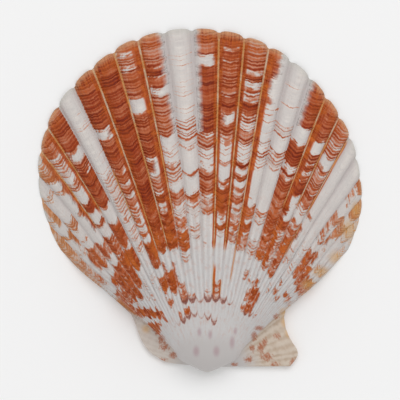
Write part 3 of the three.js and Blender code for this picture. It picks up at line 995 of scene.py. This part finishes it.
def mark_colour(n, s, amount):
    """Pink to dark orange, brighter on the young part, in stripes and by the margin, tan at the sides."""
    node = n.tree.nodes.new("ShaderNodeValToRGB")
    ends = node.color_ramp.elements
    ends[0].position, ends[0].color = PIGMENT[0]
    ends[1].position, ends[1].color = PIGMENT[-1]
    for position, tone in PIGMENT[1:-1]:
        ends.new(position).color = tone
    n.put(amount, node.inputs["Fac"])
    bright = n.times(n.step(s.cloud, 0.42, 0.72), n.plus(0.25, s.young, 0.5))
    bright = n.plus(bright, s.young, 0.2)
    late = n.times(n.step(s.growth, *LATE_GROWTH), n.step(s.streak, 0.35, 0.6), 0.65)
    striped = n.times(s.stripe, n.step(s.mottle, 0.35, 0.75))
    bright = n.math("MAXIMUM", n.math("MAXIMUM", bright, late), striped)
    side = n.times(n.step(s.off_middle, *SIDE_RIBS), n.step(s.growth, *SIDE_GROWTH))
    return n.layers(node.outputs["Color"], [
        (bright, n.step(amount, 0.3, 0.6), BRIGHT_ORANGE),
        (side, 0.6, SIDE_TAN),
    ])


def disc_colour(n, s):
    amount = mark_amount(n, s)
    full = n.times(n.step(s.fill, 0.42, 0.76), 0.92)
    width = n.math("MAXIMUM", n.attribute("width"), s.stripe)
    cover = n.times(n.math("MAXIMUM", n.step(amount, -0.12, 0.16), full), width)
    line = n.times(n.attribute("gold"), n.step(s.off_groove, *GOLD_WIDTH))
    margin = n.step(n.plus(s.growth, s.streak, 0.03), *MARGIN_GROWTH)
    uneven = n.plus(0.1, n.noise(s.rib, s.reach, **LOBE_NOISE), 1.8)
    lobe = n.times(n.attribute("lobe"), uneven)
    return n.layers(white_ground(n, s), [
        (cover, 1.0, mark_colour(n, s, amount)),
        (line, 1.0, n.blend(n.step(s.cloud, 0.45, 0.62), GOLD, CREAM)),
        (margin, 0.5, n.blend(cover, EDGE_GREY, EDGE_GOLD)),
        (n.step(s.growth, *UMBO_GROWTH), 1.0, UMBO),
        (n.step(lobe, 0.1, 0.8), 0.9, n.blend(n.step(lobe, 0.4, 0.95), PALE_LOBE, LOBE)),
        (n.step(s.growth, *TIP_GROWTH), 0.7, BEAK),
    ])


def ear_colour(n, s):
    across = n.math("SUBTRACT", s.off_middle, float(EAR_BEGINS))
    wave = n.math("COSINE", n.times(across, 2 * math.pi * EAR_RIBLETS["right"]))
    mottle = n.noise(across, s.reach, **EAR_NOISE)
    left = n.step(s.rib, 0.0, -1.0)
    tan = n.layers(EAR, [
        # Darker tan in mottled patches, and painted shade in the grooves of the right ear's riblets
        (n.step(n.plus(mottle, wave, 0.15), 0.3, 0.8), 1.0, EAR_GROOVE),
        (left, 0.55, WHITE),
    ])
    return n.blend(n.step(n.plus(s.reach, mottle, 3.0), *EAR_TAN), UMBO, tan)


def inside_colour(n, s):
    """White, tinted at the margin, with the marks shining through and the edge of the muscle's scar."""
    scar = n.plus(n.attribute("scar"), n.math("SUBTRACT", s.flecks, 0.5), 0.3)
    scar_edge = n.times(n.step(scar, 0.0, 0.2), n.step(scar, 0.5, 0.15))
    return n.layers(INSIDE_WHITE, [
        (n.step(s.growth, *INSIDE_MARGIN), 1.0, INSIDE_EDGE),
        (s.fill, 0.55, INSIDE_MARK),
        (scar_edge, 0.6, INSIDE_SCAR),
    ])


def shell_relief(n, s, inside):
    """Growth marks, fine lines along the ribs and grain, all fading towards the beak."""
    lined = n.plus(0.08, n.step(s.fill, 0.2, 0.7), 0.9)
    height = n.times(n.plus(s.ripple, s.broad, 0.7), lined)
    height = n.plus(height, n.noise(s.rib, s.reach, **FINE_LINE), 0.9)
    height = n.plus(height, s.grain, 0.8)
    strength = n.plus(RELIEF_OUTSIDE, inside, RELIEF_INSIDE - RELIEF_OUTSIDE)
    bump = n.tree.nodes.new("ShaderNodeBump")
    bump.inputs["Distance"].default_value = RELIEF_HEIGHT * MM
    n.put(n.times(strength, n.step(s.reach, *ROUGH)), bump.inputs["Strength"])
    n.put(height, bump.inputs["Height"])
    return bump.outputs["Normal"]


def shell_material():
    n = Nodes("shell")
    s = surface_values(n)
    inside = n.attribute("inside")
    brown = n.plus(s.flecks, n.attribute("brown"), 0.4)
    shade = n.layers(disc_colour(n, s), [
        (n.step(s.off_middle, *EAR_RIBS), 1.0, ear_colour(n, s)),
        (n.step(brown, 0.64, 0.96), 0.85, BROWN),
        (n.attribute("yellow"), 0.6, YELLOW),
        (n.attribute("pink"), 0.6, SPOT_PINK),
        (inside, 1.0, inside_colour(n, s)),
    ])
    smoothest, roughest = ROUGHNESS
    n.put(shade, n.shader.inputs["Base Color"])
    n.put(shell_relief(n, s, inside), n.shader.inputs["Normal"])
    n.put(n.plus(smoothest, s.grain, roughest - smoothest), n.shader.inputs["Roughness"])
    n.shader.inputs["Specular IOR Level"].default_value = GLOSS
    return n.material


def floor_material():
    n = Nodes("floor")
    n.shader.inputs["Base Color"].default_value = FLOOR_WHITE
    n.shader.inputs["Roughness"].default_value = FLOOR_ROUGHNESS
    n.shader.inputs["Specular IOR Level"].default_value = 0.0
    return n.material


# Stage

FLOOR_SIZE = 3.0
VIEW_WIDTH = 0.064  # what the picture is across, at the rim
LENS = 400.0
SENSOR = 36.0
SKY_STRENGTH = 0.72
KEY_SIZE = 1.5
KEY_POWER = 18.0
KEY_PLACE = (0.3, 1.0, 2.0)


def make_floor():
    bpy.ops.mesh.primitive_plane_add(size=FLOOR_SIZE)
    floor = bpy.context.object
    floor.name = "floor"
    floor.data.materials.append(floor_material())


def make_light():
    world = bpy.data.worlds.new("studio")
    world.use_nodes = True
    background = world.node_tree.nodes["Background"]
    background.inputs["Color"].default_value = (1.0, 1.0, 1.0, 1.0)
    background.inputs["Strength"].default_value = SKY_STRENGTH
    bpy.context.scene.world = world
    light = bpy.data.lights.new("key", "AREA")
    light.size = KEY_SIZE
    light.energy = KEY_POWER
    key = bpy.data.objects.new("key", light)
    key.location = KEY_PLACE
    key.rotation_euler = (-key.location).to_track_quat("-Z", "Y").to_euler()
    bpy.context.scene.collection.objects.link(key)


def make_camera():
    camera = bpy.data.objects.new("camera", bpy.data.cameras.new("camera"))
    camera.data.lens = LENS
    camera.data.sensor_width = SENSOR
    camera.location = (0.0, 0.0, VIEW_WIDTH * LENS / SENSOR)
    bpy.context.scene.collection.objects.link(camera)
    bpy.context.scene.camera = camera


shell = make_shell()
shell.data.materials.append(shell_material())
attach(shell, "root")
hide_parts("valve")
make_floor()
make_light()
make_camera()
bpy.context.scene.view_settings.view_transform = "Standard"
